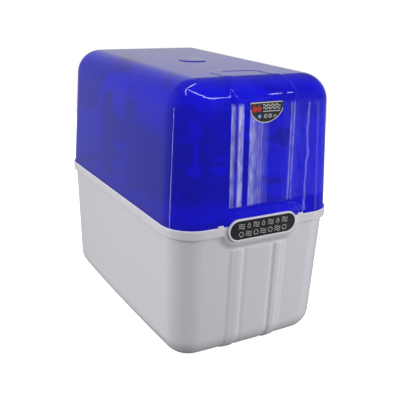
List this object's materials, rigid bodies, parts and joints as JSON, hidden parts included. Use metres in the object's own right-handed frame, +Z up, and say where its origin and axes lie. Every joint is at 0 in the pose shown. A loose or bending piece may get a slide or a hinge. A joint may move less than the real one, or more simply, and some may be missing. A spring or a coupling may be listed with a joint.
{
  "type": "reverse osmosis unit",
  "caption": "Closed-case reverse osmosis water filter: glossy off-white tub, lift-off translucent blue cover, oval badge, push-fit ports behind, filters, pump and tank inside.",
  "frame": {"origin": "centre of the footprint, on the surface that the feet stand on", "axes": "+Z up, -Y towards the badge, +X to the right when the badge is in front"},
  "size_m": [0.2556, 0.412, 0.3799],
  "materials": {
    "white_shell": "glossy, opaque off-white",
    "white_trim": "glossy white",
    "blue_shell": "glossy, translucent deep blue",
    "badge_black": "satin charcoal",
    "label_dark": "printed film, dark",
    "rubber": "soft black rubber",
    "tank_plastic": "matt white",
    "steel": "stainless",
    "brass": "plain brass",
    "black_plastic": "matt black",
    "white_fitting": "satin white acetal",
    "lever_blue": "satin blue",
    "tray_plastic": "satin light grey",
    "filter_white": "semi-gloss white",
    "cap_blue": "satin dark end caps",
    "housing_white": "semi-gloss white",
    "membrane_film": "wound film and tape",
    "motor_can": "black painted steel",
    "rotor_steel": "laminated steel",
    "bracket_steel": "black painted steel",
    "switch_grey": "satin grey",
    "collet_grey": "satin grey",
    "collet_blue": "satin blue",
    "collet_red": "satin red",
    "tube_white": "polyethylene tube",
    "tube_red": "polyethylene tube",
    "tube_blue": "polyethylene tube",
    "tube_yellow": "polyethylene tube",
    "tube_black": "polyethylene tube"
  },
  "bodies": {
    "base": {"badge_bezel": "white_trim", "badge_plate": "badge_black", "base_tub": "white_shell", "bulkhead_fittings": "white_fitting", "bulkhead_nuts": "white_fitting", "carbon_block_filter": "filter_white", "carbon_filter": "filter_white", "check_valve": "white_fitting", "drain_tubes": "tube_black", "feed_tubes": "tube_white", "filter_clips": "white_fitting", "filter_end_caps": "cap_blue", "filter_rack": "black_plastic", "flow_restrictor": "switch_grey", "high_pressure_switch": "switch_grey", "line_cross": "white_fitting", "low_pressure_switch": "switch_grey", "membrane_cap": "housing_white", "membrane_cap_seal": "rubber", "membrane_element": "membrane_film", "membrane_housing": "housing_white", "permeate_tubes": "tube_blue", "post_carbon_filter": "filter_white", "power_inlet": "black_plastic", "pressure_tube": "tube_red", "pump_bearings": "steel", "pump_bracket": "bracket_steel", "pump_diaphragm": "rubber", "pump_grommets": "rubber", "pump_head": "black_plastic", "pump_head_screws": "steel", "pump_motor_can": "motor_can", "pump_valve_plate": "black_plastic", "push_fit_elbows": "white_fitting", "rubber_feet": "rubber", "sediment_filter": "filter_white", "solenoid_body": "white_fitting", "solenoid_coil": "black_plastic", "solenoid_spring": "steel", "tank_air_valve": "brass", "tank_air_valve_cap": "black_plastic", "tank_back_shell": "tank_plastic", "tank_bladder": "rubber", "tank_cradles": "black_plastic", "tank_front_shell": "tank_plastic", "tank_port": "steel", "tank_tubes": "tube_yellow", "tank_valve_body": "white_fitting", "tray": "tray_plastic", "tray_screws": "steel"},
    "cover": {"cover": "blue_shell", "front_label": "label_dark"},
    "tank_lever": {"tank_valve_ball": "steel", "tank_valve_lever": "lever_blue"},
    "feed_collet": {"feed_collet": "collet_grey"},
    "product_collet": {"product_collet": "collet_blue"},
    "drain_collet": {"drain_collet": "collet_red"},
    "pump_rotor": {"pump_rotor": "rotor_steel", "pump_eccentric": "black_plastic"},
    "solenoid_plunger": {"solenoid_plunger": "steel"}
  },
  "joints": [
    {"name": "cover_lift", "type": "slide", "parent": "base", "child": "cover", "axis": [0, 0, 1], "range_m": [0, 0.24]},
    {"name": "tank_valve_turn", "type": "hinge", "parent": "base", "child": "tank_lever", "pos_m": [0, 0.162, 0.1], "axis": [0, 0, 1], "range_deg": [-90, 0]},
    {"name": "feed_collet_press", "type": "slide", "parent": "base", "child": "feed_collet", "axis": [0, -1, 0], "range_m": [0, 0.0015]},
    {"name": "product_collet_press", "type": "slide", "parent": "base", "child": "product_collet", "axis": [0, -1, 0], "range_m": [0, 0.0015]},
    {"name": "drain_collet_press", "type": "slide", "parent": "base", "child": "drain_collet", "axis": [0, -1, 0], "range_m": [0, 0.0015]},
    {"name": "pump_turn", "type": "hinge", "parent": "base", "child": "pump_rotor", "pos_m": [-0.054, 0, 0.237], "axis": [0, 1, 0], "continuous": true},
    {"name": "solenoid_lift", "type": "slide", "parent": "base", "child": "solenoid_plunger", "axis": [0, 0, 1], "range_m": [0, 0.0025], "stiffness_N_per_m": 150, "springref_m": -0.005, "deforming": ["solenoid_spring"]}
  ]
}
